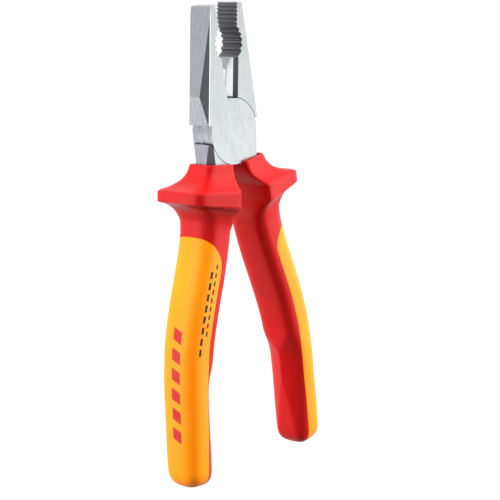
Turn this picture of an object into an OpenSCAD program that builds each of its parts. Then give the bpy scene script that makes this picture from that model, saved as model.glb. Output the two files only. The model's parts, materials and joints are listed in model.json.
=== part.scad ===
// Lineman pliers: two drop-forged halves in a lap joint, a flush rivet, and
// two-colour insulated grips with hand guards.
// X runs across the jaws, Y from the front face to the rear face, Z towards the tips.
// The origin is the point where the pivot axis meets the flat rear face of the head.
// Both halves are the same forging, turned half a revolution about Z.

/* [Head] */
// Thickness of the forged head
head_t = 10; // [9.5:0.1:10.5]
// Radius of the lap disc round the pivot
disc_r = 12.5; // [12.2:0.1:12.8]
// Height of the jaw tips above the pivot
tip_z = 48.3; // [47:0.1:50]
// Width of one jaw at its tip
tip_w = 3.2; // [2.8:0.1:4]
// Distance of the jaw's flat side from the middle
jaw_side = 13.4; // [13.2:0.1:13.8]
// Height at which the jaw starts to taper to the tip
taper_z = 16.5; // [15:0.5:18]
// Height of the shoulder under the jaw
shoulder_z = 5; // [4.8:0.1:5.4]
// Depth of the ledge on top of the shank, below the pivot
ledge_z = 4.8; // [4.6:0.1:5.2]

/* [Jaw faces] */
// Distance of each gripping face from the middle when closed
grip_gap = 0.12; // [0.1:0.01:0.2]
// Lower end of the flat gripping face
flat_z = 39.4; // [38.5:0.1:40]
// Number of fine teeth on the flat face
fine_teeth = 6; // [4:1:8]
// Depth of the fine teeth
fine_depth = 0.55; // [0.3:0.05:0.8]
// Lower end of the pipe-grip hollow
hollow_z = 28.4; // [27.5:0.1:29.5]
// Depth of the pipe-grip hollow behind its ends
hollow_depth = 2.1; // [1.5:0.1:2.5]
// Number of coarse teeth in the hollow
coarse_teeth = 5; // [4:1:6]
// Depth of the coarse teeth
coarse_depth = 0.75; // [0.5:0.05:1]
// Recess of the land beside the cutting edge
land_x = 1.6; // [1.2:0.1:1.9]
// Width of the bevel between the land and the cutting edge
bevel_w = 2.3; // [2:0.1:2.6]
// Height at which the cutting edge starts
cutter_z = 23.6; // [22:0.1:25]

/* [Joint] */
// Angle between the halves at rest
rest_open = 13.2; // [0:0.1:30]
// Radius of the rivet shank
rivet_r = 4; // [3.5:0.1:4.5]
// Radius of the rivet's flush countersunk ends
rivet_head_r = 5.2; // [5:0.1:5.5]
// Radial running clearance between the rivet and the front half
rivet_clear = 0.05; // [0.03:0.01:0.09]
// Gap between the two lap faces
lap_gap = 0.06; // [0.04:0.01:0.1]
// Gap between a lap disc and the recess round it
seat_gap = 0.25; // [0.2:0.01:0.35]

/* [Grips] */
// Height of the top edge of the grips, below the pivot
collar_z = 12.3; // [12:0.1:12.8]
// Half thickness of the hand guard, front to back
guard_y = 14.2; // [13:0.1:15]
// Distance of the guard's outer edge from the middle, closed
guard_x = 26.1; // [25:0.1:27]
// Half width of the grip in the palm
palm_a = 7.3; // [7:0.1:7.6]
// Half thickness of the grip in the palm
palm_b = 9; // [8.6:0.1:9.4]
// Depth of the end of the grips below the pivot
grip_end = 134.6; // [133:0.1:137]
// Thickness of the inner sleeve
sleeve_t = 0.8; // [0.6:0.1:1]
// Thickness of the soft comfort zone
zone_t = 1.8; // [1.4:0.1:2]
// Depth of the top of the comfort zone below the pivot
zone_top = 38.8; // [38:0.1:40]

/* [Hidden] */
half_t = head_t / 2;
steel = [0.78, 0.80, 0.81];
grip_red = [0.80, 0.06, 0.06];
zone_orange = [1.00, 0.68, 0.12];
sleeve_yellow = [0.93, 0.85, 0.25];
ring_n = 32;            // points round one ring of the grip
tooth_growth = 0.2;     // how much the teeth grow in height down each row
disc_gap = 0.3;         // gap between a grip and the lap disc that turns beside it
corner_r = 1.4;         // rounding under the jaw's shoulder
tang_t = 6;             // thickness of the tang inside the grip
tang_w = 6.4;           // width of the tang inside the grip
core_end_z = -19;       // where the full-thickness shank gives way to the tang
tang_end_z = -124;      // lower end of the tang
zone_past = 2.4;        // how far the comfort zone passes the grip's middle line
zone_reach = 7.5;       // how far outside the grip's middle line the zone's arch starts
guard_narrow = 0.036;   // how much the squarer rings narrow towards their outer side
arch_h = 12.5;          // height of the arch at the top of the zone
palm_square = [3, 4.2]; // squareness of the palm's outer and inner side

// Middle line of a closed handle, as [z, x], from the guard to the end.
spine = [[-23, 9.6], [-35.5, 10.4], [-45, 11.6], [-54.5, 13.5], [-64.5, 15.8],
    [-74.5, 17.7], [-84, 18.8], [-94, 18.9], [-106, 18.3], [-126, 17.3], [-134.6, 16.8]];

// Rings of the grip's skin, as [z, inner x, outer x, half thickness, squareness of the
// outer side, squareness of the inner side, tilt]. Tilt is how much lower the ring lies at
// its inner side.
skin = [
    [-collar_z, 1.8, 14.4, 7.0, 5, 10, 0],
    [-15, 2.0, 15.2, 7.5, 5, 12, 0],
    [-17.6, 2.5, 16.9, 8.8, 5, 14, 0],
    [-19.4, 3.2, 19.4, 10.6, 5, 15, 0],
    [-20.8, 3.9, guard_x - 3.5, guard_y - 1.7, 6, 16, 0],
    [-21.8, 4.5, guard_x - 0.5, guard_y - 0.25, 7, 16, 0.1],
    [-22.3, 4.6, guard_x, guard_y, 7, 16, 0.4],
    [-26.0, 4.6, guard_x, guard_y, 7, 16, 2.2],
    [-26.6, 4.2, guard_x - 2, guard_y - 1.2, 6, 11, 3.0],
    [-28.0, 3.7, 21.2, 11.3, 4.4, 8, 3.4],
    [-30.4, 3.3, 19.0, 10.0, 3.6, 6, 3.4],
    [-33.5, 3.2, 17.8, 9.2, 3.2, 5, 2.4]];
palm = [
    [-38, 7.2, 8.9], [-45, 7.2, 8.9], [-54.5, palm_a, palm_b], [-64.5, palm_a, palm_b],
    [-74.5, 7.2, 8.9], [-84, 7.1, 8.8], [-94, 7.0, 8.8], [-106, 6.9, 8.6],
    [-118, 6.8, 8.4], [-126, 6.7, 8.1], [-grip_end + 4.4, 6.4, 7.7],
    [-grip_end + 2, 5.5, 6.7], [-grip_end + 0.6, 3.9, 5.0], [-grip_end, 2.2, 3.0]];
rings = concat(skin,
    [for (p = palm) [p[0], spine_x(p[0]) - p[1], spine_x(p[0]) + p[1], p[2],
        palm_square[0], palm_square[1], 0]]);

// Middle line of the handle at height z.
function spine_x(z) = lookup(z, spine);

// Signed power, which squares up an ellipse.
function spow(v, e) = sign(v) * pow(abs(v), e);

// Points of one ring; inset moves the skin inwards.
function ring(s, inset) = let (
        a = (s[2] - s[1]) / 2 - inset,
        b = s[3] - inset,
        mid = (s[1] + s[2]) / 2)
    [for (i = [0:ring_n - 1]) let (
            t = 360 * (i + 0.5) / ring_n,
            e = 2 / (cos(t) > 0 ? s[4] : s[5]),
            u = spow(cos(t), e),
            v = spow(sin(t), e),
            narrow = 1 - guard_narrow * (u + 1) * min(s[4] - 3, 2.5))
        [-(mid + a * u), b * v * narrow, s[0] - s[6] * (1 - u) / 2]];

// Skin of the left grip as one closed body.
module grip_skin(inset = 0) {
    rows = [for (s = rings) ring(s, inset)];
    pts = [for (r = rows) for (p = r) p];
    last = len(rows) - 1;
    walls = [for (k = [0:last - 1]) for (i = [0:ring_n - 1]) let (
            j = (i + 1) % ring_n, a = k * ring_n, b = a + ring_n)
        [a + i, b + i, b + j, a + j]];
    caps = [[for (i = [0:ring_n - 1]) i],
        [for (i = [ring_n - 1:-1:0]) last * ring_n + i]];
    polyhedron(pts, concat(walls, caps), convexity = 6);
}

// Extrudes an outline drawn in X and Z from y0 to y1.
module slab(y0, y1) {
    translate([0, y1, 0])
        rotate([90, 0, 0])
            linear_extrude(y1 - y0)
                children();
}

// Removes what lies beyond the plane through p, q and s, away from the inside point.
module shave(p, q, s, inside, reach) {
    raw = cross(q - p, s - p);
    n = raw / norm(raw) * sign(raw * (p - inside));
    translate(p)
        rotate([0, acos(n[2]), atan2(n[1], n[0])])
            translate([-reach / 2, -reach / 2, 0])
                cube([reach, reach, 12]);
}

// One row of teeth from z0 down to z1; crest is 0 on the flat face and 1 in the hollow.
function teeth(z0, z1, count, depth, crest) =
    [for (k = [0:count - 1]) for (c = [[0, 0], [0.3, 0], [0.55, 1], [0.75, 1]]) let (
            s = (k + c[0]) / count,
            z = z0 - (z0 - z1) * s * (1 + tooth_growth * (s - 1)))
        [hollow_x(z, crest) + c[1] * depth, z]];

// Crest line: flat above, and a shallow bow in the pipe-grip hollow.
function hollow_x(z, crest) = let (s = (flat_z - z) / (flat_z - hollow_z))
    crest == 0 ? grip_gap : grip_gap + (land_x - grip_gap) * s + 4 * hollow_depth * s * (1 - s);

// Outline of the right jaw in X and Z.
module jaw_outline() {
    fillet = [for (k = [0:4]) let (s = k / 4)
        [land_x + 0.1 - (land_x - grip_gap) * (1 - pow(1 - s, 2)), hollow_z - (hollow_z - cutter_z) * s]];
    shoulder = [for (a = [0:-22.5:-90])
        [jaw_side - corner_r + corner_r * cos(a), shoulder_z + corner_r + corner_r * sin(a)]];
    polygon(concat(
        [[tip_w - 0.5, tip_z], [tip_w, tip_z - 0.5], [jaw_side, taper_z]],
        shoulder,
        [[4, shoulder_z], [grip_gap, disc_r - 2]],
        [for (i = [len(fillet) - 1:-1:0]) fillet[i]],
        let (t = teeth(flat_z, hollow_z + 0.5, coarse_teeth, coarse_depth, 1))
            [for (i = [len(t) - 1:-1:0]) t[i]],
        let (t = teeth(tip_z, flat_z, fine_teeth, fine_depth, 0))
            [for (i = [len(t) - 1:-1:0]) t[i]]));
}

// Outline of the left shank down to the end of its full thickness.
module shank_outline() {
    polygon([[-4, -ledge_z], [-12.8, -ledge_z], [-12.6, -collar_z], [-13.2, core_end_z],
        [-5.2, core_end_z], [-3.2, -collar_z - 0.4], [-0.4, -collar_z - 0.4], [-0.4, -8]]);
}

// Outline of the left shank inside the grip; grow widens it by the sleeve.
module core_outline(grow) {
    polygon([[-12.6 - grow, -collar_z - 0.8], [-13.2 - grow, core_end_z - grow],
        [-5.2 + grow, core_end_z - grow], [-3.2 + grow, -collar_z - 0.8]]);
}

// Outline of the left tang, which follows the middle line of the handle.
module tang_outline(grow) {
    stops = concat([core_end_z + 2, -26], [for (z = [-35.5:-11:-112]) z], [tang_end_z - grow]);
    mid = [for (z = stops) [max(spine_x(z), 9.6), z]];
    w = tang_w / 2 + grow;
    polygon(concat([for (m = mid) [-m[0] - w, m[1]]],
        [for (i = [len(mid) - 1:-1:0]) [-mid[i][0] + w, mid[i][1]]]));
}

// Everything of the steel that the grip covers, grown by the sleeve, which is half as
// thick round the thick part of the shank.
module tang_solid(grow) {
    slab(-half_t - grow / 2, half_t + grow / 2) core_outline(grow / 2);
    slab(-tang_t / 2 - grow, tang_t / 2 + grow) tang_outline(grow);
}

// Bevels that leave the cutting edge standing on the right jaw.
module cutter_bevels() {
    bottom = disc_r;
    translate([0, 0, bottom])
        linear_extrude(hollow_z - 0.8 - bottom)
            polygon([[-2, -half_t - 1], [land_x, -half_t - 1], [land_x, -bevel_w],
                [grip_gap, 0], [-2, 0]]);
    run_out = [for (a = [0:15:90])
        [half_t * sin(a) + 0.01, cutter_z - 0.6 + (hollow_z + 1 - cutter_z) * (1 - cos(a))]];
    intersection() {
        translate([0, 0, bottom])
            linear_extrude(24)
                polygon([[-2, 0], [grip_gap, 0], [land_x - 0.1, half_t + 1], [-2, half_t + 1]]);
        translate([-3, 0, 0])
            rotate([90, 0, 90])
                linear_extrude(8)
                    polygon(concat([[0, bottom]], run_out,
                        [[half_t + 1, hollow_z + 0.4], [half_t + 1, bottom]]));
    }
}

// Side profile of the rivet, widened by clear.
module rivet_solid(clear) {
    r = rivet_r + clear;
    h = rivet_head_r + clear;
    sink = rivet_head_r - rivet_r;
    rotate([90, 0, 0])
        rotate_extrude($fn = 96)
            polygon([[0, -half_t], [h, -half_t], [r, -half_t + sink], [r, half_t - sink],
                [h, half_t], [0, half_t]]);
}

// One forging: right jaw, rear lap disc, left shank and tang, with its mid-plane at y = 0.
module forging(clear) {
    difference() {
        union() {
            slab(-half_t, half_t) jaw_outline();
            slab(-half_t, half_t) shank_outline();
            slab(lap_gap / 2, half_t) circle(disc_r, $fn = 120);
            tang_solid(0);
        }
        slab(-half_t - 1, lap_gap / 2) circle(disc_r + seat_gap, $fn = 120);
        for (side = [-1, 1]) {
            shave([tip_w + 0.2, side * half_t, tip_z], [jaw_side, side * half_t, shoulder_z],
                [jaw_side, side * half_t / 2, taper_z], [5, 0, 20], 90);
            shave([-11.6, side * half_t, -ledge_z], [-12.8, side * (half_t - 1.3), -ledge_z],
                [-10.2, side * half_t, -collar_z], [-5, 0, -8], 24);
        }
        cutter_bevels();
        rivet_solid(clear);
    }
}

// Moves a child from the closed, centred position to the rest pose of the rear half.
module rear_pose() {
    translate([0, -half_t, 0])
        rotate([0, rest_open / 2, 0])
            children();
}

// The same for the front half, which is the forging turned about Z.
module front_pose() {
    translate([0, -half_t, 0])
        rotate([0, -rest_open / 2, 0])
            rotate([0, 0, 180])
                children();
}

// Outline, in X and Z, of the part of the grip that the comfort zone covers.
module zone_outline() {
    arch = [for (d = [0:0.125:1]) let (z = -zone_top - arch_h * d)
        [-spine_x(z) - zone_reach + (zone_reach + zone_past) * (1 - pow(1 - d, 2)), z]];
    edge = [for (z = [-58, -64.5, -74.5, -84, -94, -106, -118, -126]) [zone_past - spine_x(z), z]];
    polygon(concat([[-32, -zone_top]], arch, edge,
        [[zone_past - spine_x(-130), -grip_end - 2], [-32, -grip_end - 2]]));
}

// Space taken by the comfort zone, open to the outside.
module zone_space() {
    difference() {
        slab(-16, 16) zone_outline();
        grip_skin(zone_t);
    }
}

// Space kept free round the lap disc that turns beside a grip.
module disc_space() {
    slab(-half_t - disc_gap, half_t + disc_gap) circle(disc_r + disc_gap, $fn = 120);
}

module sleeve() {
    color(sleeve_yellow)
        difference() {
            tang_solid(sleeve_t);
            tang_solid(0);
        }
}

module grip() {
    color(grip_red)
        difference() {
            grip_skin();
            zone_space();
            tang_solid(sleeve_t);
            slab(-half_t, half_t) shank_outline();
            disc_space();
        }
}

module comfort_zone() {
    color(zone_orange)
        intersection() {
            grip_skin();
            zone_space();
        }
}

module front_half() { color(steel) front_pose() forging(rivet_clear); }
module rear_half() { color(steel) rear_pose() forging(0); }
module pivot_rivet() { color(steel) translate([0, -half_t, 0]) rivet_solid(0); }
module left_inner_sleeve() { rear_pose() sleeve(); }
module left_grip() { rear_pose() grip(); }
module left_comfort_zone() { rear_pose() comfort_zone(); }
module right_inner_sleeve() { front_pose() sleeve(); }
module right_grip() { front_pose() grip(); }
module right_comfort_zone() { front_pose() comfort_zone(); }

front_half();
rear_half();
pivot_rivet();
left_inner_sleeve();
left_grip();
left_comfort_zone();
right_inner_sleeve();
right_grip();
right_comfort_zone();
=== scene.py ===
"""Looks of a pair of insulated lineman pliers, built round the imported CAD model.

The steel halves and the rivet are the CAD nodes themselves, with broken edges and a ground finish.
The grips are new meshes: one moulding is modelled in the closed pose of the left handle and used
for both handles, because both halves of the tool are the same part turned half a revolution.
Lengths inside the grip classes are in millimetres, and become metres when a grip is put in place.
The forgings, the studio and the grain of the finishes are in metres, as the frame is.
"""

import json
import logging
import math
from dataclasses import dataclass, field
from enum import Enum

import bmesh
import bpy
import numpy as np
from mathutils import Matrix, Quaternion, Vector


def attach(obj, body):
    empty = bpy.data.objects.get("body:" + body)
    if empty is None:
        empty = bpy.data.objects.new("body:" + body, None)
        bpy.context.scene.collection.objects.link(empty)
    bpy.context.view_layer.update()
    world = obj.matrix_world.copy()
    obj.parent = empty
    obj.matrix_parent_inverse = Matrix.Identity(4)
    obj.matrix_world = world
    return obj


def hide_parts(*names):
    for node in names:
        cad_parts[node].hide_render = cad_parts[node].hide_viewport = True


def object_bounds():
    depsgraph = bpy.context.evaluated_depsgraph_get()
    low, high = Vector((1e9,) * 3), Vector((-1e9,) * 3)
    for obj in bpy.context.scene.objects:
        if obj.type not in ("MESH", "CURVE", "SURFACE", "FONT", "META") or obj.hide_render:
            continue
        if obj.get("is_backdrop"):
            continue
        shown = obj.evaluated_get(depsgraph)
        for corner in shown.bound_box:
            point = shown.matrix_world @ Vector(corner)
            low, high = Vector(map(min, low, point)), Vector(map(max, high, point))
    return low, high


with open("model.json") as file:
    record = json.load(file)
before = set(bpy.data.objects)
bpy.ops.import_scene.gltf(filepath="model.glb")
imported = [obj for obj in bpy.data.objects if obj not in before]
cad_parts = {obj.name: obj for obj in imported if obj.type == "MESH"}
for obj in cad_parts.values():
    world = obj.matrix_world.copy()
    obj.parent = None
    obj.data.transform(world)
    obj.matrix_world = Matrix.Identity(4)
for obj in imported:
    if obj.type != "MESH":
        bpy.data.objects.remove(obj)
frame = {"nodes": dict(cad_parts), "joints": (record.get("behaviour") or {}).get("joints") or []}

log = logging.getLogger("pliers")
MM = 0.001


class Handle(Enum):
    """The two handles, by the side on which each one hangs."""

    LEFT = "left"
    RIGHT = "right"


class Steel(Enum):
    """The CAD nodes that are made of steel."""

    REAR = "rear_half"
    FRONT = "front_half"
    RIVET = "pivot_rivet"


def linear(red: int, green: int, blue: int) -> tuple[float, float, float, float]:
    """Turn a display colour into the linear colour that a shader takes.

    Args:
        red: Red, 0 to 255.
        green: Green, 0 to 255.
        blue: Blue, 0 to 255.

    Returns:
        The linear colour with an alpha of 1.
    """
    def one(value: int) -> float:
        """Linear value of one channel."""
        share = value / 255
        return share / 12.92 if share <= 0.04045 else ((share + 0.055) / 1.055) ** 2.4

    return (one(red), one(green), one(blue), 1.0)


# ---------------------------------------------------------------------------------------------
# Node graphs
# ---------------------------------------------------------------------------------------------


@dataclass
class Graph:
    """A material's node graph, with short calls for the nodes that the finishes use."""

    name: str
    material: bpy.types.Material = field(init=False)
    shader: bpy.types.Node = field(init=False)

    def __post_init__(self) -> None:
        """Start the material with a Principled shader wired to its output."""
        self.material = bpy.data.materials.new(self.name)
        self.material.use_nodes = True
        tree = self.material.node_tree
        tree.nodes.clear()
        self.shader = tree.nodes.new("ShaderNodeBsdfPrincipled")
        output = tree.nodes.new("ShaderNodeOutputMaterial")
        tree.links.new(self.shader.outputs["BSDF"], output.inputs["Surface"])

    def node(self, kind: str, **settings: object) -> bpy.types.Node:
        """Add a node.

        Args:
            kind: Type of the node without its ShaderNode prefix.
            settings: Properties of the node to set.

        Returns:
            The new node.
        """
        made = self.material.node_tree.nodes.new("ShaderNode" + kind)
        for key, value in settings.items():
            setattr(made, key, value)
        return made

    def feed(self, socket: bpy.types.NodeSocket, value: object) -> None:
        """Link an output to a socket, or set the socket to a constant.

        Args:
            socket: The input socket.
            value: An output socket, a number, a vector or a colour.
        """
        if isinstance(value, bpy.types.NodeSocket):
            self.material.node_tree.links.new(value, socket)
        else:
            socket.default_value = value

    def set(self, **values: object) -> None:
        """Feed inputs of the Principled shader, named with underscores for spaces."""
        for key, value in values.items():
            self.feed(self.shader.inputs[key.replace("_", " ")], value)

    def math(self, operation: str, *values: object) -> bpy.types.NodeSocket:
        """Add a Math node.

        Args:
            operation: Name of the operation.
            values: Its inputs, as sockets or numbers.

        Returns:
            The result.
        """
        made = self.node("Math", operation=operation)
        for socket, value in zip(made.inputs, values):
            self.feed(socket, value)
        return made.outputs[0]

    def times(self, first: object, *others: object) -> bpy.types.NodeSocket:
        """Multiply values, such as masks that have to hold together.

        Args:
            first: First value.
            others: The other values.

        Returns:
            The product.
        """
        for other in others:
            first = self.math("MULTIPLY", first, other)
        return first

    def size(self, value: object) -> bpy.types.NodeSocket:
        """Size of a value, without its sign."""
        return self.math("ABSOLUTE", value)

    def band(self, value: object, low: float, high: float, soft: float) -> bpy.types.NodeSocket:
        """Mask that is 1 between two limits, with soft ends.

        Args:
            value: What is tested.
            low: Lower limit.
            high: Upper limit.
            soft: Width of each soft end.

        Returns:
            The mask, 0 to 1.
        """
        middle, half = (low + high) / 2, (high - low) / 2
        away = self.size(self.math("SUBTRACT", value, middle))
        return self.remap(away, half + soft / 2, half - soft / 2)

    def remap(self, value: object, start: float, end: float, low: float = 0.0,
              high: float = 1.0) -> bpy.types.NodeSocket:
        """Map a range smoothly onto another one, clamped.

        Args:
            value: What is mapped.
            start: Value that becomes low.
            end: Value that becomes high.
            low: Result at start.
            high: Result at end.

        Returns:
            The mapped value.
        """
        made = self.node("MapRange", interpolation_type="SMOOTHSTEP")
        flip = start > end
        limits = (end, start, high, low) if flip else (start, end, low, high)
        for socket, number in zip(made.inputs, (value, *limits)):
            self.feed(socket, number)
        return made.outputs[0]

    def mix(self, share: object, first: object, second: object) -> bpy.types.NodeSocket:
        """Blend two colours.

        Args:
            share: Share of the second colour.
            first: First colour.
            second: Second colour.

        Returns:
            The blended colour.
        """
        made = self.node("Mix", data_type="RGBA")
        self.feed(made.inputs["Factor"], share)
        self.feed(made.inputs[6], first)
        self.feed(made.inputs[7], second)
        return made.outputs[2]

    def blend(self, share: object, first: object, second: object) -> bpy.types.NodeSocket:
        """Blend two numbers.

        Args:
            share: Share of the second number.
            first: First number.
            second: Second number.

        Returns:
            The blended number.
        """
        made = self.node("Mix", data_type="FLOAT")
        for index, value in ((0, share), (2, first), (3, second)):
            self.feed(made.inputs[index], value)
        return made.outputs[0]

    def noise(self, place: bpy.types.NodeSocket, scale: float, detail: float = 3.0,
              stretch: tuple[float, float, float] = (1, 1, 1)) -> bpy.types.NodeSocket:
        """Add a noise pattern.

        Args:
            place: Coordinates.
            scale: Waves per unit of the coordinates.
            detail: Octaves.
            stretch: Factors on the coordinates, low along the grain.

        Returns:
            The noise, about 0 to 1.
        """
        shaped = self.node("Mapping")
        self.feed(shaped.inputs["Vector"], place)
        shaped.inputs["Scale"].default_value = stretch
        made = self.node("TexNoise")
        self.feed(made.inputs["Vector"], shaped.outputs[0])
        made.inputs["Scale"].default_value = scale
        made.inputs["Detail"].default_value = detail
        return made.outputs[0]

    def bump(self, height: bpy.types.NodeSocket, strength: float, depth: float) -> None:
        """Bump the surface.

        Args:
            height: Height pattern, 0 to 1.
            strength: Share of the effect.
            depth: Depth of the pattern in metres.
        """
        made = self.node("Bump")
        made.inputs["Strength"].default_value = strength
        made.inputs["Distance"].default_value = depth
        self.feed(made.inputs["Height"], height)
        self.feed(self.shader.inputs["Normal"], made.outputs[0])


# ---------------------------------------------------------------------------------------------
# Finishes
# ---------------------------------------------------------------------------------------------


@dataclass(frozen=True)
class HeadSpot:
    """Sockets for a point of the head: its place in millimetres and the way its surface faces."""

    x: bpy.types.NodeSocket
    z: bpy.types.NodeSocket
    across: bpy.types.NodeSocket
    sideways: bpy.types.NodeSocket
    flat: bpy.types.NodeSocket
    edgewise: bpy.types.NodeSocket
    inside: bpy.types.NodeSocket


@dataclass(frozen=True)
class GroundSteel:
    """Forged tool steel: ground faces, darker unground teeth and lands, painted shade and
    highlights.

    Places, widths and soft ends are in millimetres from the joint, with the tool closed. The pairs
    that end in _from and the limits that end in _slant are shares of the surface normal. edge_plane
    is where the chamfer meets the flat faces: a factor for x, one for z, and their sum there.
    """

    name: str
    lean: float
    ground: tuple = linear(200, 206, 206)
    # Painted shade: faces turned sideways get this colour, darker than the ground front faces.
    side: tuple = linear(178, 178, 186)
    clouds: tuple = linear(150, 152, 158)
    streaks: tuple = linear(140, 138, 148)
    teeth: tuple = linear(82, 82, 87)
    # Painted shade: the slanted chamfer faces get this dark colour.
    chamfer: tuple = linear(84, 88, 91)
    pits: tuple = linear(60, 60, 64)
    # Painted highlight: near-white for the ground bevels and for a line along the chamfer's edge.
    polish_and_highlight: tuple = linear(250, 252, 253)
    # Painted shade: near-black colour for the wall of the narrow gap round the lap disc.
    gap_shade: tuple = linear(34, 36, 38)
    teeth_x: tuple = (4.8, 4.6)
    teeth_z: tuple = (28.0, 47.6)
    land_x: tuple = (1.25, 2.0)
    land_z: tuple = (11.5, 28.4)
    bevel_x: tuple = (2.6, 2.3)
    chamfer_x: tuple = (2.6, 3.0)
    groove_r: tuple = (12.58, 13.02)
    edge_plane: tuple = (0.974, 0.225, 14.15)
    edge_width: tuple = (-0.15, 0.42)
    edge_z: tuple = (5.0, 6.0)
    soft: float = 0.2
    soft_land: float = 0.1
    soft_edge: float = 0.15
    soft_groove: float = 0.06
    flat_from: tuple = (0.45, 0.75)
    edgewise_from: tuple = (0.55, 0.9)
    inside_from: tuple = (0.15, -0.05)
    groove_from: tuple = (0.97, 0.85)
    across_slant: tuple = (0.2, 0.93, 0.05)
    sideways_slant: tuple = (0.3, 0.97, 0.05)
    bevel_slant: tuple = (0.14, 0.9, 0.04)
    grain_waves: float = 1400
    grain_stretch: tuple = (1, 1, 0.06)
    cross_waves: float = 1900
    cross_stretch: tuple = (0.05, 1, 1)
    pit_waves: float = 2600
    cloud_waves: float = 160
    clouding: tuple = (0.3, 0.75, 0.0, 0.16)
    streaking: tuple = (0.35, 0.7, 0.0, 0.35)
    pitting: tuple = (0.3, 0.75, 0.0, 0.5)
    ground_roughness: tuple = (0.3, 0.7, 0.24, 0.36)
    forged_roughness: float = 0.5
    forged_metal: float = 0.35
    relief: float = 0.35
    relief_depth: float = 0.00003

    def make(self, pivot: Vector) -> bpy.types.Material:
        """Build the material.

        Args:
            pivot: Middle of the joint in the row frame, in metres.

        Returns:
            The material.
        """
        graph = Graph(self.name)
        place = graph.node("TexCoord").outputs["Object"]
        spot = self._spot(graph, place, pivot)
        bevel = self._bevel_highlight(graph, spot)
        dark = graph.math("MAXIMUM", self._teeth(graph, spot), self._land(graph, spot, bevel))
        # Teeth and lands are unground; the chamfer mask adds painted shade.
        forged_and_shade_mask = graph.math("MAXIMUM", dark, self._chamfer_shade(graph, spot))
        # Painted highlight: the bevels and the chamfer's edge line are lightened towards
        # near-white.
        polish_and_highlight_mask = graph.math("MAXIMUM", bevel, self._edge_highlight(graph, spot))

        grain = graph.noise(place, self.grain_waves, 4, self.grain_stretch)
        cross_grain = graph.noise(place, self.cross_waves, 4, self.cross_stretch)
        pits = graph.noise(place, self.pit_waves, 5)
        bare = graph.mix(polish_and_highlight_mask, self._brushed(graph, spot, place, grain), self.polish_and_highlight)
        skin = graph.mix(graph.remap(pits, *self.pitting),
                         graph.mix(dark, self.chamfer, self.teeth), self.pits)
        steel = graph.mix(forged_and_shade_mask, bare, skin)
        ground_roughness = graph.remap(grain, *self.ground_roughness)
        graph.set(Base_Color=graph.mix(self._gap_shade(graph, spot), steel, self.gap_shade),
                  Metallic=graph.blend(forged_and_shade_mask, 1.0, self.forged_metal),
                  Roughness=graph.blend(forged_and_shade_mask, ground_roughness, self.forged_roughness))
        lines = graph.blend(spot.flat, grain, cross_grain)
        graph.bump(graph.blend(forged_and_shade_mask, lines, pits), self.relief, self.relief_depth)
        return graph.material

    def _spot(self, graph: Graph, place: bpy.types.NodeSocket, pivot: Vector) -> HeadSpot:
        """Place and direction of a point, as if its half stood in the closed pose.

        Args:
            graph: The graph.
            place: The point in the row frame.
            pivot: Middle of the joint, in metres.

        Returns:
            The sockets.
        """
        turn = graph.node("VectorRotate", rotation_type="Y_AXIS")
        graph.feed(turn.inputs["Vector"], place)
        turn.inputs["Center"].default_value = pivot
        turn.inputs["Angle"].default_value = self.lean
        closed = graph.node("SeparateXYZ")
        graph.feed(closed.inputs[0], turn.outputs[0])
        normal = graph.node("SeparateXYZ")
        graph.feed(normal.inputs[0], graph.node("NewGeometry").outputs["True Normal"])
        across, sideways = graph.size(normal.outputs[1]), graph.size(normal.outputs[0])
        outward = graph.times(normal.outputs[0], graph.math("SIGN", closed.outputs[0]))
        return HeadSpot(x=graph.math("DIVIDE", graph.size(closed.outputs[0]), MM),
                        z=graph.math("DIVIDE", closed.outputs[2], MM),
                        across=across, sideways=sideways,
                        flat=graph.remap(across, *self.flat_from),
                        edgewise=graph.remap(sideways, *self.edgewise_from),
                        inside=graph.remap(outward, *self.inside_from))

    def _brushed(self, graph: Graph, spot: HeadSpot, place: bpy.types.NodeSocket,
                 grain: bpy.types.NodeSocket) -> bpy.types.NodeSocket:
        """Colour of the ground steel, with the sides painted darker as shade, with clouds and with
        streaks along the grinding.

        Args:
            graph: The graph.
            spot: The point.
            place: The point in the row frame.
            grain: Pattern of the grinding lines.

        Returns:
            The colour.
        """
        # Painted shade: faces turned sideways are mixed towards the darker side colour.
        tone = graph.mix(spot.edgewise, self.ground, self.side)
        cloud = graph.noise(place, self.cloud_waves, 4)
        clouded = graph.mix(graph.remap(cloud, *self.clouding), tone, self.clouds)
        streak = graph.times(graph.remap(grain, *self.streaking), spot.edgewise)
        return graph.mix(streak, clouded, self.streaks)

    def _bevel_highlight(self, graph: Graph, spot: HeadSpot) -> bpy.types.NodeSocket:
        """Mask of the ground bevels beside the cutting edge, painted brighter as a highlight."""
        where = graph.times(graph.remap(spot.x, *self.bevel_x),
                            graph.band(spot.z, *self.land_z, self.soft))
        return graph.times(where, graph.band(spot.across, *self.bevel_slant))

    def _land(self, graph: Graph, spot: HeadSpot,
              bevel: bpy.types.NodeSocket) -> bpy.types.NodeSocket:
        """Mask of the dark land beside the cutting edge.

        Args:
            graph: The graph.
            spot: The point.
            bevel: Mask of the bevels, which the land leaves free.

        Returns:
            The mask, 0 to 1.
        """
        face = graph.times(graph.band(spot.x, *self.land_x, self.soft_land),
                           graph.band(spot.z, *self.land_z, self.soft), spot.edgewise)
        return graph.times(face, graph.math("SUBTRACT", 1.0, bevel), spot.inside)

    def _chamfer_shade(self, graph: Graph, spot: HeadSpot) -> bpy.types.NodeSocket:
        """Mask of the slanted outer faces, which are painted dark as shade."""
        slanted = graph.times(graph.band(spot.across, *self.across_slant),
                              graph.band(spot.sideways, *self.sideways_slant))
        return graph.times(slanted, graph.remap(spot.x, *self.chamfer_x))

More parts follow.
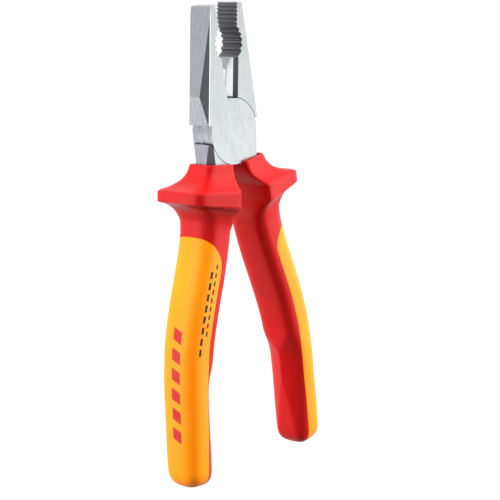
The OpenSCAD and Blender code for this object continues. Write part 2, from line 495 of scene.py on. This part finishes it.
    def _edge_highlight(self, graph: Graph, spot: HeadSpot) -> bpy.types.NodeSocket:
        """Mask of the painted highlight line on the flat faces along the slanted chamfer.

        Args:
            graph: The graph.
            spot: The point.

        Returns:
            The mask, 0 to 1.
        """
        slope_x, slope_z, reach = self.edge_plane
        along = graph.math("ADD", graph.times(spot.x, slope_x), graph.times(spot.z, slope_z))
        away = graph.math("SUBTRACT", reach, along)
        return graph.times(graph.band(away, *self.edge_width, self.soft_edge),
                           graph.remap(spot.z, *self.edge_z), spot.flat)

    def _gap_shade(self, graph: Graph, spot: HeadSpot) -> bpy.types.NodeSocket:
        """Mask of the wall of the recess round the lap disc, painted dark as the shade in the gap.

        Args:
            graph: The graph.
            spot: The point.

        Returns:
            The mask, 0 to 1.
        """
        square = graph.math("ADD", graph.times(spot.x, spot.x), graph.times(spot.z, spot.z))
        ring = graph.band(graph.math("SQRT", square), *self.groove_r, self.soft_groove)
        return graph.times(ring, graph.remap(spot.across, *self.groove_from))

    def _teeth(self, graph: Graph, spot: HeadSpot) -> bpy.types.NodeSocket:
        """Mask of the toothed gripping face, which isn't on the flat front and rear faces."""
        where = graph.times(graph.remap(spot.x, *self.teeth_x),
                            graph.band(spot.z, *self.teeth_z, self.soft))
        return graph.times(where, graph.math("SUBTRACT", 1.0, spot.flat), spot.inside)


@dataclass(frozen=True)
class Moulding:
    """Injection-moulded plastic with a fine spark-eroded grain and slight colour flow."""

    name: str
    colour: tuple
    deep: tuple
    roughness: float
    grain: float = 0.00002
    gloss: float = 0.22
    refraction: float = 1.48
    flow_waves: float = 45
    speckle_waves: float = 3200
    flowing: tuple = (0.3, 0.75, 0.0, 0.5)
    speckling: tuple = (0.45, 0.75, 0.0, 0.12)
    speckle_range: tuple = (0.3, 0.7)
    smoother: float = 0.05
    rougher: float = 0.06
    relief: float = 0.25

    def start(self) -> tuple[Graph, bpy.types.NodeSocket]:
        """Build the graph up to the plain colour.

        Returns:
            The graph and the colour that it has so far.
        """
        graph = Graph(self.name)
        place = graph.node("TexCoord").outputs["Object"]
        flow = graph.noise(place, self.flow_waves)
        speckle = graph.noise(place, self.speckle_waves)
        colour = graph.mix(graph.remap(flow, *self.flowing), self.colour, self.deep)
        colour = graph.mix(graph.remap(speckle, *self.speckling), colour, self.deep)
        limits = (self.roughness - self.smoother, self.roughness + self.rougher)
        graph.set(Base_Color=colour, IOR=self.refraction, Specular_IOR_Level=self.gloss,
                  Roughness=graph.remap(speckle, *self.speckle_range, *limits))
        graph.bump(speckle, self.relief, self.grain)
        return graph, colour

    def make(self) -> bpy.types.Material:
        """Build the material."""
        return self.start()[0].material


@dataclass(frozen=True)
class DashRow:
    """A row of equal printed dashes, in millimetres along the handle."""

    start: float
    pitch: float
    filled: float
    count: int
    soft: float = 0.2
    soft_ends: float = 0.1

    def mask(self, graph: Graph, along: bpy.types.NodeSocket) -> bpy.types.NodeSocket:
        """Mask of the dashes.

        Args:
            graph: The graph.
            along: Distance along the row, in millimetres.

        Returns:
            The mask, 0 to 1.
        """
        step = graph.math("MODULO", graph.math("SUBTRACT", along, self.start), self.pitch)
        end = self.start + self.pitch * (self.count - 1) + self.filled
        row = graph.band(along, self.start, end, self.soft_ends)
        return graph.times(graph.band(step, 0.0, self.filled, self.soft), row)


@dataclass(frozen=True)
class PrintedZone(Moulding):
    """The soft zone's plastic, with plain printed bars in place of any lettering.

    The bars' fields are millimetres from the handle's middle line: a face field says where the
    printed face starts, and a width field gives a band's two sides and their softness.
    """

    red_ink: tuple = linear(180, 36, 33)
    red_face: tuple = (-2.0, -2.6)
    red_width: tuple = (-2.7, 1.5, 0.15)
    red_row: DashRow = DashRow(73.0, 7.6, 4.6, 6)
    bar_slant: float = 0.45
    black_ink: tuple = linear(30, 27, 21)
    black_face: tuple = (-4.0, -4.6)
    outer_width: tuple = (-3.1, -2.0, 0.12)
    outer_row: DashRow = DashRow(51.5, 4.1, 2.7, 8)
    inner_width: tuple = (-0.8, 0.1, 0.12)
    inner_row: DashRow = DashRow(49.0, 3.1, 1.9, 9)

    def make(self) -> bpy.types.Material:
        """Build the material with its printed bars.

        Returns:
            The material.
        """
        graph, colour = self.start()
        spot = graph.node("Attribute", attribute_name="handle")
        split = graph.node("SeparateXYZ")
        graph.feed(split.inputs[0], spot.outputs["Vector"])
        across, depth, height = split.outputs
        low = graph.times(height, -1.0)
        colour = graph.mix(self._red_bars(graph, across, depth, low), colour, self.red_ink)
        colour = graph.mix(self._black_bars(graph, across, depth, low), colour, self.black_ink)
        graph.set(Base_Color=colour)
        return graph.material

    def _red_bars(self, graph: Graph, across: bpy.types.NodeSocket, depth: bpy.types.NodeSocket,
                  low: bpy.types.NodeSocket) -> bpy.types.NodeSocket:
        """Mask of the slanted red bars down the outer face.

        Args:
            graph: The graph.
            across: Distance inwards from the handle's middle line.
            depth: Distance rearwards.
            low: Distance down from the joint.

        Returns:
            The mask, 0 to 1.
        """
        along = graph.math("ADD", low, graph.times(depth, self.bar_slant))
        return graph.times(graph.band(depth, *self.red_width), self.red_row.mask(graph, along),
                           graph.remap(across, *self.red_face))

    def _black_bars(self, graph: Graph, across: bpy.types.NodeSocket, depth: bpy.types.NodeSocket,
                    low: bpy.types.NodeSocket) -> bpy.types.NodeSocket:
        """Mask of the two rows of fine black dashes down the front face.

        Args:
            graph: The graph.
            across: Distance inwards from the handle's middle line.
            depth: Distance rearwards.
            low: Distance down from the joint.

        Returns:
            The mask, 0 to 1.
        """
        outer = graph.times(graph.band(across, *self.outer_width), self.outer_row.mask(graph, low))
        inner = graph.times(graph.band(across, *self.inner_width), self.inner_row.mask(graph, low))
        return graph.times(graph.math("MAXIMUM", outer, inner),
                           graph.remap(depth, *self.black_face))


@dataclass(frozen=True)
class StudioFloor:
    """Pale seamless floor, which glows more with the distance from the tool, in metres."""

    colour: tuple = linear(114, 114, 114)
    cloud: tuple = linear(111, 111, 112)
    cloud_waves: float = 3
    glow: tuple = (0.84, 1.0)
    glow_reach: tuple = (0.2, 2.5)
    roughness: float = 0.9

    def make(self) -> bpy.types.Material:
        """Build the floor's material.

        Returns:
            The material.
        """
        graph = Graph("studio_floor")
        place = graph.node("TexCoord").outputs["Object"]
        tone = graph.mix(graph.noise(place, self.cloud_waves, 2), self.colour, self.cloud)
        away = graph.node("VectorMath", operation="LENGTH")
        graph.feed(away.inputs[0], place)
        glow = graph.remap(away.outputs["Value"], *self.glow_reach, *self.glow)
        graph.set(Base_Color=tone, Roughness=self.roughness, Emission_Color=(1.0, 1.0, 1.0, 1.0),
                  Emission_Strength=glow)
        return graph.material


# ---------------------------------------------------------------------------------------------
# Grip moulding
# ---------------------------------------------------------------------------------------------


def signed_rows(knots: np.ndarray, values: np.ndarray, at: np.ndarray) -> np.ndarray:
    """Interpolate rows smoothly without overshoot (monotone cubic).

    Args:
        knots: Rising positions of the rows.
        values: One row of values per knot.
        at: Positions wanted.

    Returns:
        One row of values per wanted position.
    """
    step = np.diff(knots)[:, None]
    slope = np.diff(values, axis=0) / step
    weight = (step[:-1] + 2 * step[1:], 2 * step[:-1] + step[1:])
    same = slope[:-1] * slope[1:] > 0
    safe = np.where(same, slope[:-1] * slope[1:], 1)
    inner = np.where(same, (weight[0] + weight[1]) * safe
                     / np.where(same, weight[0] * slope[1:] + weight[1] * slope[:-1], 1), 0)
    tangent = np.vstack([slope[:1], inner, slope[-1:]])
    k = np.clip(np.searchsorted(knots, at) - 1, 0, len(knots) - 2)
    h = step[k]
    t = ((at - knots[k]) / h[:, 0])[:, None]
    return ((1 + 2 * t) * (1 - t) ** 2 * values[k] + t * (1 - t) ** 2 * h * tangent[k]
            + t ** 2 * (3 - 2 * t) * values[k + 1] + t ** 2 * (t - 1) * h * tangent[k + 1])


@dataclass
class GripShape:
    """Skin of one grip, in millimetres, in the closed pose of the left handle."""

    columns: int = 128
    fine_step: float = 0.32
    coarse_step: float = 1.2
    # Rings of the collar and guard: z, inner x, outer x, half thickness, outer and inner
    # squareness, and tilt.
    collar: tuple = (
        (-12.3, 1.9, 14.2, 6.8, 5, 10, 0), (-12.6, 1.8, 14.4, 7.0, 5, 10, 0),
        (-15, 2.0, 15.2, 7.5, 5, 12, 0), (-17.6, 2.5, 16.9, 8.8, 5, 14, 0),
        (-19.4, 3.2, 19.4, 10.6, 5, 15, 0), (-20.8, 3.9, 22.6, 12.5, 6, 16, 0),
        (-21.8, 4.5, 25.6, 13.95, 7, 16, 0.1), (-22.1, 4.6, 26.05, 14.15, 7, 16, 0.3),
        (-22.4, 4.6, 26.1, 14.2, 7, 16, 0.5), (-25.8, 4.6, 26.1, 14.2, 7, 16, 2.1),
        (-26.15, 4.5, 25.7, 13.9, 7, 14, 2.4), (-26.6, 4.2, 24.1, 13.0, 6, 11, 3.0),
        (-28.0, 3.7, 21.2, 11.3, 4.4, 8, 3.4), (-30.4, 3.3, 19.0, 10.0, 3.6, 6, 3.4),
        (-33.5, 3.2, 17.8, 9.2, 3.2, 5, 2.4),
    )
    # Rings of the palm: z, half width, half thickness.
    palm: tuple = (
        (-38, 7.2, 8.9), (-45, 7.2, 8.9), (-54.5, 7.3, 9.0), (-64.5, 7.3, 9.0), (-74.5, 7.2, 8.9),
        (-84, 7.1, 8.8), (-94, 7.0, 8.8), (-106, 6.9, 8.6), (-118, 6.8, 8.4), (-126, 6.7, 8.1),
    )
    # Middle line of the handle: z, distance from the tool's middle.
    spine: tuple = (
        (-23, 9.6), (-35.5, 10.4), (-45, 11.6), (-54.5, 13.5), (-64.5, 15.8), (-74.5, 17.7),
        (-84, 18.8), (-94, 18.9), (-106, 18.3), (-126, 17.3), (-134.6, 16.8),
    )
    # Scoops on the inner face: z, and the share of the half thickness where the slope starts,
    # with its sign turned.
    scoop: tuple = (
        (-76, -1.05), (-83, -0.92), (-88, -0.62), (-92, -0.2), (-96.5, 0.06), (-101, 0.06),
        (-110, -0.1), (-121, -0.4), (-131, -0.65),
    )
    scoop_slope: float = 0.3
    scoop_soft: float = 0.03
    scoop_power: float = 0.5
    scoop_past: float = 2.0
    fade_top: float = 4.0
    fade_end: float = 3.0
    palm_power: tuple = (3.0, 4.2)
    narrowing: float = 0.036
    narrow_from: float = 3.0
    narrow_most: float = 2.5
    round_end: float = 8.6
    end_power: float = 2.7
    end_turn: float = 88.1
    end_step: float = 4.0
    tip_out: float = 0.02
    tip_inset: float = 0.9
    least: float = 0.05

    def spine_x(self, z: np.ndarray | float) -> np.ndarray:
        """Distance of the handle's middle line from the tool's middle.

        Args:
            z: Height, or heights.

        Returns:
            One distance per height.
        """
        table = np.array(self.spine[::-1], float)
        wanted = np.clip(np.atleast_1d(np.asarray(z, float)), table[0, 0], table[-1, 0])
        return signed_rows(table[:, 0], table[:, 1:], wanted)[:, 0]

    def rows(self) -> np.ndarray:
        """Finely spaced rings of the skin.

        Returns:
            Rows of z, inner x, outer x, half thickness, outer and inner squareness, and tilt,
            which is how much lower the ring lies at its inner side.
        """
        palm = [(z, self.spine_x(z)[0] - a, self.spine_x(z)[0] + a, b, *self.palm_power, 0)
                for z, a, b in self.palm]
        knots = np.array([*self.collar, *palm], float)
        length = np.linalg.norm(np.diff(knots[:, [0, 2, 3]], axis=0), axis=1)
        at = np.concatenate([[0], np.cumsum(length)])
        split = at[len(self.collar) - 1]
        where = np.concatenate([np.arange(0, split, self.fine_step),
                                np.arange(split, at[-1], self.coarse_step)])
        body = signed_rows(at, knots, where)
        return np.vstack([body, self._end(knots[-1])])

    def _end(self, last: np.ndarray) -> np.ndarray:
        """Rings of the rounded end.

        Args:
            last: The last ring of the palm, as a row of rows().

        Returns:
            Rows as in rows().
        """
        angle = np.radians(np.arange(0, self.end_turn, self.end_step))
        cos, sin, power = np.cos(angle), np.sin(angle), self.end_power
        reach = 1 / (cos ** power + sin ** power) ** (1 / power)
        z = last[0] - self.round_end * reach * sin
        share = reach * cos
        middle, half = self.spine_x(z), (last[2] - last[1]) / 2
        flat = np.zeros_like(z)
        return np.column_stack([z, middle - half * share, middle + half * share, last[3] * share,
                                flat + last[4], flat + last[5], flat])

    def ring(self, row: np.ndarray, inset: float) -> np.ndarray:
        """Points of one ring of the skin.

        Args:
            row: One row of rows().
            inset: How far the ring lies under the skin.

        Returns:
            The ring's points, one row each.
        """
        z, inner, outer, half_y, outer_power, inner_power, tilt = row
        angle = 2 * math.pi * (np.arange(self.columns) + 0.5) / self.columns
        cos, sin = np.cos(angle), np.sin(angle)
        power = np.where(cos > 0, outer_power, inner_power)
        reach = 1 / (np.abs(cos) ** power + np.abs(sin) ** power) ** (1 / power)
        u, v = reach * cos, reach * sin
        half_x = max((outer - inner) / 2 - inset, self.least)
        half_y = max(half_y - inset, self.least)
        squarer = min(outer_power - self.narrow_from, self.narrow_most)
        narrow = 1 - self.narrowing * (u + 1) * squarer
        x = (outer + inner) / 2 + half_x * u + self._scooped(z, u, v, half_y)
        return np.column_stack([-x, half_y * v * narrow, z - tilt * (1 - u) / 2])

    def _scooped(self, z: float, u: np.ndarray, v: np.ndarray, half_y: float) -> np.ndarray:
        """How far the leaf-shaped scoops on the inner face push each point outwards.

        Args:
            z: Height of the ring.
            u: Place of each point across the ring, -1 at the inner side and 1 at the outer side.
            v: Place of each point along the thickness, -1 to 1.
            half_y: Half of the ring's thickness.

        Returns:
            One distance per point.
        """
        table = np.array(self.scoop[::-1], float)
        low, high = table[0, 0], table[-1, 0]
        if not low - self.scoop_past < z < high:
            return np.zeros_like(u)
        edge = signed_rows(table[:, 0], table[:, 1:], np.clip([z], low, high))[0, 0]
        past = np.abs(v) + edge
        ramp = (past + np.sqrt(past ** 2 + self.scoop_soft ** 2)) / 2
        fade = (np.clip((high - z) / self.fade_top, 0, 1)
                * np.clip((z - low + self.scoop_past) / self.fade_end, 0, 1))
        inward = np.clip(-u, 0, 1) ** self.scoop_power
        return self.scoop_slope * half_y * ramp * inward * fade

    def solid(self, inset: float = 0.0) -> bmesh.types.BMesh:
        """Closed mesh of the skin.

        Args:
            inset: How far the surface lies under the skin.

        Returns:
            The mesh, in millimetres.
        """
        rows = self.rows()
        made = bmesh.new()
        rings = [[made.verts.new(p) for p in self.ring(row, inset)] for row in rows]
        for above, below in zip(rings, rings[1:]):
            for i in range(self.columns):
                j = (i + 1) % self.columns
                made.faces.new((above[i], below[i], below[j], above[j]))
        tip = made.verts.new(np.mean([v.co for v in rings[-1]], axis=0)
                             - np.array([0, 0, self.tip_out - inset * self.tip_inset]))
        for i in range(self.columns):
            made.faces.new((rings[-1][i], tip, rings[-1][(i + 1) % self.columns]))
        made.faces.new(rings[0])
        bmesh.ops.recalc_face_normals(made, faces=made.faces)
        return made


@dataclass
class GripTools:
    """Solids that cut the moulding: the comfort zone's block and the bore for the steel."""

    shape: GripShape
    zone_top: float = 38.8
    zone_past: float = 2.4
    arch_height: float = 12.5
    arch_reach: float = 7.5
    zone_end: float = -137.0
    zone_outside: float = -32.0
    arch_points: int = 40
    seam_step: float = 1.5
    half_t: float = 5.0
    sleeve: float = 0.8
    tang_w: float = 6.4
    tang_t: float = 6.0
    tang_top: tuple = (-17, -26)
    tang_rows: tuple = (-35.5, -113, -11)
    tang_end: float = -124.0
    tang_nearest: float = 9.6
    disc_r: float = 12.5
    disc_gap: float = 0.3
    disc_points: int = 96
    reach: float = 16.0
    core: tuple = ((-12.6, -13.1), (-13.2, -19.0), (-5.2, -19.0), (-3.2, -13.1))
    shank: tuple = ((-4, -4.8), (-12.8, -4.8), (-12.6, -12.3), (-13.2, -19), (-5.2, -19),
                    (-3.2, -12.7), (-0.4, -12.7), (-0.4, -8))

    def slab(self, outline: np.ndarray, half: float) -> bmesh.types.BMesh:
        """Extrude an outline in X and Z from -half to half along Y.

        Args:
            outline: Corner points.
            half: Half of the slab's thickness.

        Returns:
            The closed mesh, in millimetres.
        """
        made = bmesh.new()
        front = [made.verts.new((x, -half, z)) for x, z in outline]
        back = [made.verts.new((x, half, z)) for x, z in outline]
        count = len(front)
        made.faces.new(front)
        made.faces.new(list(reversed(back)))
        for i in range(count):
            j = (i + 1) % count
            made.faces.new((front[i], back[i], back[j], front[j]))
        bmesh.ops.recalc_face_normals(made, faces=made.faces)
        return made

    def zone_outline(self, gap: float) -> np.ndarray:
        """Outline of the comfort zone: an arch at the top, then the seam along the handle.

        Args:
            gap: How far the outline is drawn in along the seam.

        Returns:
            Corner points of X and Z, one row each.
        """
        drop = np.linspace(0, 1, self.arch_points)
        z = -self.zone_top - gap - self.arch_height * drop
        reach = (self.arch_reach + self.zone_past - gap) * (1 - (1 - drop) ** 2)
        x = -self.shape.spine_x(z) - self.arch_reach + reach
        arch = np.column_stack([x, z])
        low = np.arange(z[-1] - self.seam_step, self.zone_end, -self.seam_step)
        edge = np.column_stack([self.zone_past - gap - self.shape.spine_x(low), low])
        start = [[self.zone_outside, -self.zone_top - gap]]
        end = [[edge[-1, 0], self.zone_end], [self.zone_outside, self.zone_end]]
        return np.vstack([start, arch, edge, end])

    def tang_outline(self) -> np.ndarray:
        """Outline of the tang with its sleeve.

        Returns:
            Corner points of X and Z, one row each.
        """
        z = np.array([*self.tang_top, *np.arange(*self.tang_rows), self.tang_end - self.sleeve])
        middle = np.maximum(self.shape.spine_x(z), self.tang_nearest)
        half = self.tang_w / 2 + self.sleeve
        outer, inner = np.column_stack([-middle - half, z]), np.column_stack([-middle + half, z])
        return np.vstack([outer, inner[::-1]])

    def bores(self) -> list[bmesh.types.BMesh]:
        """The slabs that make room for the shank, the lap disc, the sleeved core and the tang.

        Returns:
            The closed meshes, in millimetres.
        """
        thin = self.sleeve / 2
        grow = np.array([[-1, 0], [-1, -1], [1, -1], [1, 0]]) * thin
        turn = 2 * math.pi * np.arange(self.disc_points) / self.disc_points
        disc = (self.disc_r + self.disc_gap) * np.column_stack([np.cos(turn), np.sin(turn)])
        return [self.slab(self.shank, self.half_t), self.slab(disc, self.half_t + self.disc_gap),
                self.slab(np.array(self.core) + grow, self.half_t + thin),
                self.slab(self.tang_outline(), self.tang_t / 2 + self.sleeve)]


@dataclass
class GripMoulding:
    """The red grip and its comfort zone, cut from one skin in the closed left pose."""

    shape: GripShape = field(default_factory=GripShape)
    zone_t: float = 1.8
    seam: float = 0.12
    floor_gap: float = 0.04
    crease: float = 32.0
    merge: float = 0.002
    red: bpy.types.Mesh = field(init=False)
    zone: bpy.types.Mesh = field(init=False)

    def __post_init__(self) -> None:
        """Cut both pieces."""
        tools = GripTools(self.shape)
        recess = self._carve(tools.slab(tools.zone_outline(0.0), tools.reach), "DIFFERENCE",
                             [self.shape.solid(self.zone_t)])
        filling = self._carve(tools.slab(tools.zone_outline(self.seam), tools.reach), "DIFFERENCE",
                              [self.shape.solid(self.zone_t - self.floor_gap)])
        red = self._carve(self.shape.solid(), "DIFFERENCE", [recess, *tools.bores()])
        zone = self._carve(self.shape.solid(), "INTERSECT", [filling])
        self.red, self.zone = self._finish(red), self._finish(zone)

    def _carve(self, base: bmesh.types.BMesh, operation: str,
               tools: list[bmesh.types.BMesh]) -> bmesh.types.BMesh:
        """Run exact booleans on a mesh.

        Args:
            base: The mesh to cut.
            operation: DIFFERENCE or INTERSECT.
            tools: The cutting meshes, in turn.

        Returns:
            The cut mesh.
        """
        host = self._object(base, "carve_base")
        others = [self._object(tool, f"carve_tool{i}") for i, tool in enumerate(tools)]
        for other in others:
            cut = host.modifiers.new(other.name, "BOOLEAN")
            cut.operation = operation
            cut.solver = "EXACT"
            cut.object = other
        graph = bpy.context.evaluated_depsgraph_get()
        result = bmesh.new()
        result.from_mesh(host.evaluated_get(graph).to_mesh())
        for item in (host, *others):
            mesh = item.data
            bpy.data.objects.remove(item)
            bpy.data.meshes.remove(mesh)
        return result

    def _object(self, source: bmesh.types.BMesh, name: str) -> bpy.types.Object:
        """Put a mesh into a scene object for the time of a boolean.

        Args:
            source: The mesh.
            name: Name of the object.

        Returns:
            The object.
        """
        mesh = bpy.data.meshes.new(name)
        source.to_mesh(mesh)
        made = bpy.data.objects.new(name, mesh)
        bpy.context.scene.collection.objects.link(made)
        return made

    def _finish(self, made: bmesh.types.BMesh) -> bpy.types.Mesh:
        """Clean a cut mesh, mark its creases and note each point's place on the handle.

        Args:
            made: The cut mesh.

        Returns:
            The finished mesh, in millimetres.
        """
        bmesh.ops.remove_doubles(made, verts=made.verts, dist=self.merge)
        bmesh.ops.dissolve_degenerate(made, edges=made.edges, dist=self.merge)
        bmesh.ops.recalc_face_normals(made, faces=made.faces)
        limit = math.radians(self.crease)
        for edge in made.edges:
            edge.smooth = len(edge.link_faces) == 2 and edge.calc_face_angle(0.0) < limit
        for face in made.faces:
            face.smooth = True
        mesh = bpy.data.meshes.new("moulding")
        made.to_mesh(mesh)
        points = np.empty(len(mesh.vertices) * 3)
        mesh.vertices.foreach_get("co", points)
        points = points.reshape(-1, 3)
        points[:, 0] += self.shape.spine_x(points[:, 2])
        place = mesh.attributes.new("handle", "FLOAT_VECTOR", "POINT")
        place.data.foreach_set("vector", points.ravel())
        return mesh


@dataclass
class Grip:
    """One handle's two visible mouldings, in place on the tool."""

    handle: Handle
    rest_half: float
    middle_y: float

    @property
    def body(self) -> str:
        """Name of the CAD body that this handle belongs to."""
        return "rear_side" if self.handle is Handle.LEFT else "front_side"

    def pose(self) -> Matrix:
        """Matrix from the closed left pose in millimetres to this handle at rest in metres.

        Returns:
            The matrix.
        """
        left = self.handle is Handle.LEFT
        lean = Matrix.Rotation(self.rest_half if left else -self.rest_half, 4, "Y")
        turn = Matrix.Rotation(0.0 if left else math.pi, 4, "Z")
        return Matrix.Translation((0, self.middle_y, 0)) @ lean @ turn @ Matrix.Scale(MM, 4)

    def place(self, mesh: bpy.types.Mesh, piece: str, slot: str,
              material: bpy.types.Material) -> bpy.types.Object:
        """Put one moulding in place of its CAD node.

        Args:
            mesh: The moulding in the closed pose.
            piece: Name of the piece without its side, which the CAD node shares.
            slot: Material slot in the record; not used.
            material: Finish.

        Returns:
            The placed object.
        """
        node = f"{self.handle.value}_{piece}"
        own = mesh.copy()
        own.transform(self.pose())
        own.materials.append(material)
        made = bpy.data.objects.new(f"{node}_moulding", own)
        bpy.context.scene.collection.objects.link(made)
        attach(made, self.body)
        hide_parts(node)
        log.info("%s: %d faces on %s", made.name, len(own.polygons), self.body)
        return made


# ---------------------------------------------------------------------------------------------
# Steel
# ---------------------------------------------------------------------------------------------


@dataclass
class Forgings:
    """The steel nodes, which keep their CAD shape and get broken edges and a finish."""

    edge_break: float = 0.00016
    edge_segments: int = 2
    corner: float = 28.0
    weld: float = 1e-6

    def dress(self, steel: Steel, material: bpy.types.Material) -> None:
        """Weld, break the edges and give the finish.

        Args:
            steel: Which steel node.
            material: Finish.
        """
        piece = frame["nodes"][steel.value]
        join = piece.modifiers.new("weld", "WELD")
        join.merge_threshold = self.weld
        bevel = piece.modifiers.new("broken_edges", "BEVEL")
        bevel.width = self.edge_break
        bevel.segments = self.edge_segments
        bevel.limit_method = "ANGLE"
        bevel.angle_limit = math.radians(self.corner)
        bevel.harden_normals = True
        dress_node(steel.value, material)


def dress_node(node: str, material: bpy.types.Material) -> None:
    """Give a CAD node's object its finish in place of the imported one.

    Args:
        node: Name of the CAD node.
        material: Finish.
    """
    piece = frame["nodes"][node]
    for place in piece.material_slots:
        place.material = material
    log.info("%s: %s", node, material.name)


# ---------------------------------------------------------------------------------------------
# Studio
# ---------------------------------------------------------------------------------------------


@dataclass(frozen=True)
class SoftBox:
    """A large soft light that faces the tool, and that the tool doesn't mirror.

    Angles are in degrees, lengths in metres and power in watts.
    """

    name: str
    azimuth: float
    elevation: float
    distance: float
    width: float
    height: float
    power: float


@dataclass
class Studio:
    """Floor, lights, surroundings and camera."""

    floor_z: float
    aim: Vector = field(default_factory=lambda: Vector((-0.0002, -0.0142, -0.0453)))
    azimuth: float = -47.50
    elevation: float = 12.14
    roll: float = -3.62
    distance: float = 0.6538
    lens: float = 123.9
    clip: tuple = (0.01, 50.0)
    floor_size: float = 6.0
    floor_cuts: int = 12
    floor_drop: float = 0.004
    boxes: tuple = (
        SoftBox("left_rear_box", -132, 20, 1.0, 1.3, 1.5, 34.0),
        SoftBox("right_front_box", 50, 20, 1.0, 1.3, 1.5, 45.0),
        SoftBox("top_box", 160, 80, 0.8, 0.6, 0.6, 2.4),
        SoftBox("camera_side_fill", -47, 30, 1.6, 0.5, 0.5, 1.2),
        SoftBox("low_fill", -60, -2, 1.1, 0.9, 0.2, 4.2),
    )

    def toward(self, azimuth: float, elevation: float) -> Vector:
        """Direction from the tool, with azimuth 0 towards -Y and 90 towards +X."""
        a, e = math.radians(azimuth), math.radians(elevation)
        return Vector((math.sin(a) * math.cos(e), -math.cos(a) * math.cos(e), math.sin(e)))

    def build_floor(self) -> None:
        """Lay the floor under the handles, low enough for the handle that swings down to close."""
        made = bmesh.new()
        bmesh.ops.create_grid(made, x_segments=self.floor_cuts, y_segments=self.floor_cuts,
                              size=self.floor_size)
        mesh = bpy.data.meshes.new("floor")
        made.to_mesh(mesh)
        mesh.materials.append(StudioFloor().make())
        floor = bpy.data.objects.new("floor", mesh)
        floor.location.z = self.floor_z - self.floor_drop
        floor.visible_diffuse = False
        bpy.context.scene.collection.objects.link(floor)
        floor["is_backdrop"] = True
        log.info("floor at %.4f m", floor.location.z)

    def build_lights(self) -> None:
        """Hang the soft boxes."""
        for box in self.boxes:
            data = bpy.data.lights.new(box.name, "AREA")
            data.shape = "RECTANGLE"
            data.size, data.size_y = box.width, box.height
            data.energy = box.power
            lamp = bpy.data.objects.new(box.name, data)
            back = self.toward(box.azimuth, box.elevation)
            lamp.location = self.aim + back * box.distance
            lamp.rotation_euler = (-back).to_track_quat("-Z", "Y").to_euler()
            lamp.visible_camera = False
            lamp.visible_glossy = False
            bpy.context.scene.collection.objects.link(lamp)

    def build_world(self) -> None:
        """White surroundings, which the tool mirrors and which don't light it otherwise."""
        world = bpy.data.worlds.new("studio")
        world.use_nodes = True
        shade = world.node_tree.nodes["Background"]
        shade.inputs["Color"].default_value = (1, 1, 1, 1)
        shade.inputs["Strength"].default_value = 1.0
        bpy.context.scene.world = world
        world.cycles_visibility.diffuse = False
        bpy.context.scene.view_settings.view_transform = "Standard"

    def build_camera(self) -> None:
        """Set up the camera."""
        back = self.toward(self.azimuth, self.elevation)
        data = bpy.data.cameras.new("camera")
        data.lens = self.lens
        data.clip_start, data.clip_end = self.clip
        camera = bpy.data.objects.new("camera", data)
        camera.location = self.aim + back * self.distance
        camera.rotation_mode = "QUATERNION"
        level = (-back).to_track_quat("-Z", "Y")
        camera.rotation_quaternion = level @ Quaternion((0, 0, 1), math.radians(self.roll))
        bpy.context.scene.collection.objects.link(camera)
        bpy.context.scene.camera = camera

    def build(self) -> None:
        """Build the whole studio."""
        self.build_floor()
        self.build_lights()
        self.build_world()
        self.build_camera()


# Degrees from the closed pose to the rest pose, the same as in the CAD model.
REST_OPEN = 13.2
RED = Moulding("red_moulding", linear(186, 10, 7), linear(173, 6, 4), 0.36, gloss=0.2)
ORANGE = PrintedZone("orange_zone_print", linear(255, 143, 8), linear(255, 133, 5), 0.42)
SLEEVE = Moulding("inner_sleeve_yellow", linear(236, 214, 70), linear(222, 196, 56), 0.5)


def main() -> None:
    """Build every piece, in order."""
    logging.basicConfig(level=logging.INFO, format="%(name)s %(message)s", force=True)
    cad_box = [list(corner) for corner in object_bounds()]
    pivot = Vector(frame["joints"][0]["pos_m"])
    half = math.radians(REST_OPEN / 2)

    forgings = Forgings()
    forgings.dress(Steel.REAR, GroundSteel("ground_steel_rear", -half).make(pivot))
    forgings.dress(Steel.FRONT, GroundSteel("ground_steel_front", half).make(pivot))
    forgings.dress(Steel.RIVET, GroundSteel("ground_steel_rivet", 0.0).make(pivot))

    sleeve = SLEEVE.make()
    for handle in Handle:
        dress_node(f"{handle.value}_inner_sleeve", sleeve)
    moulding = GripMoulding()
    red, orange = RED.make(), ORANGE.make()
    for handle in Handle:
        grip = Grip(handle, half, pivot.y)
        grip.place(moulding.red, "grip", "red_grip", red)
        grip.place(moulding.zone, "comfort_zone", "orange_zone", orange)

    Studio(floor_z=cad_box[0][2]).build()


if __name__ == "__main__":
    main()
